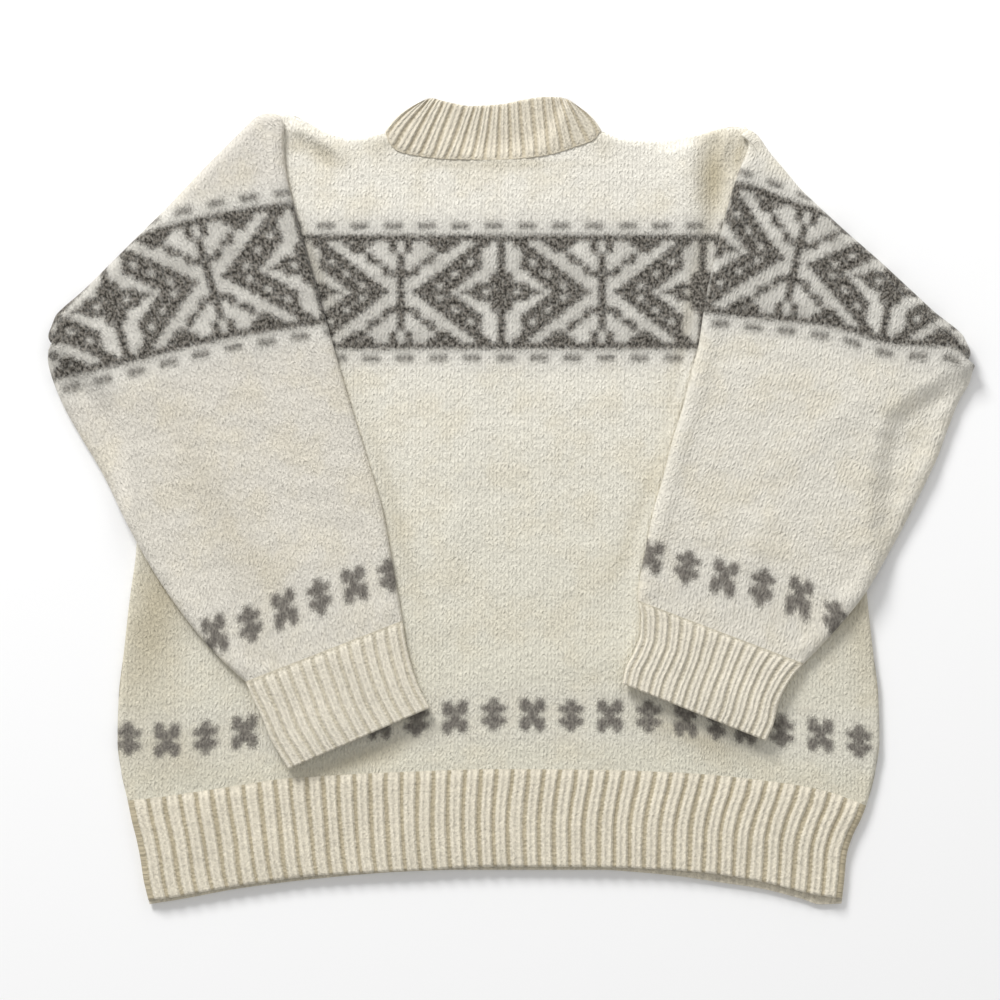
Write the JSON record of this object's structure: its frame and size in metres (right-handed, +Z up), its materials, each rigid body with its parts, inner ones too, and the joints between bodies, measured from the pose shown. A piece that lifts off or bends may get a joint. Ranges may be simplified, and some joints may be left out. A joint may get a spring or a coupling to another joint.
{
  "type": "fair isle jumper",
  "caption": "Knitted wool jumper laid flat face down, drop shoulders, sleeves folded over the back, ribbed neck band, cuffs and hem, motif band across body and sleeves.",
  "frame": {"origin": "middle of the bounding box, on the surface the jumper lies on", "axes": "+Z up out of the surface, +Y towards the neck, +X across the body towards the right-hand sleeve as seen from above"},
  "size_m": [0.7424, 0.6455, 0.0207],
  "materials": {
    "body_knit": "brushed stranded wool, cream with a dark brown-grey pattern band",
    "sleeve_knit": "brushed stranded wool, cream with a dark brown-grey pattern band",
    "rib_knit": "cream wool rib, darker in the grooves"
  },
  "bodies": {
    "root": {"front_panel": "body_knit", "back_panel": "body_knit", "hem_rib_front": "rib_knit", "hem_rib_back": "rib_knit", "sleeve_left": "sleeve_knit", "sleeve_right": "sleeve_knit", "cuff_left": "rib_knit", "cuff_right": "rib_knit", "neck_band": "rib_knit"}
  },
  "joints": []
}
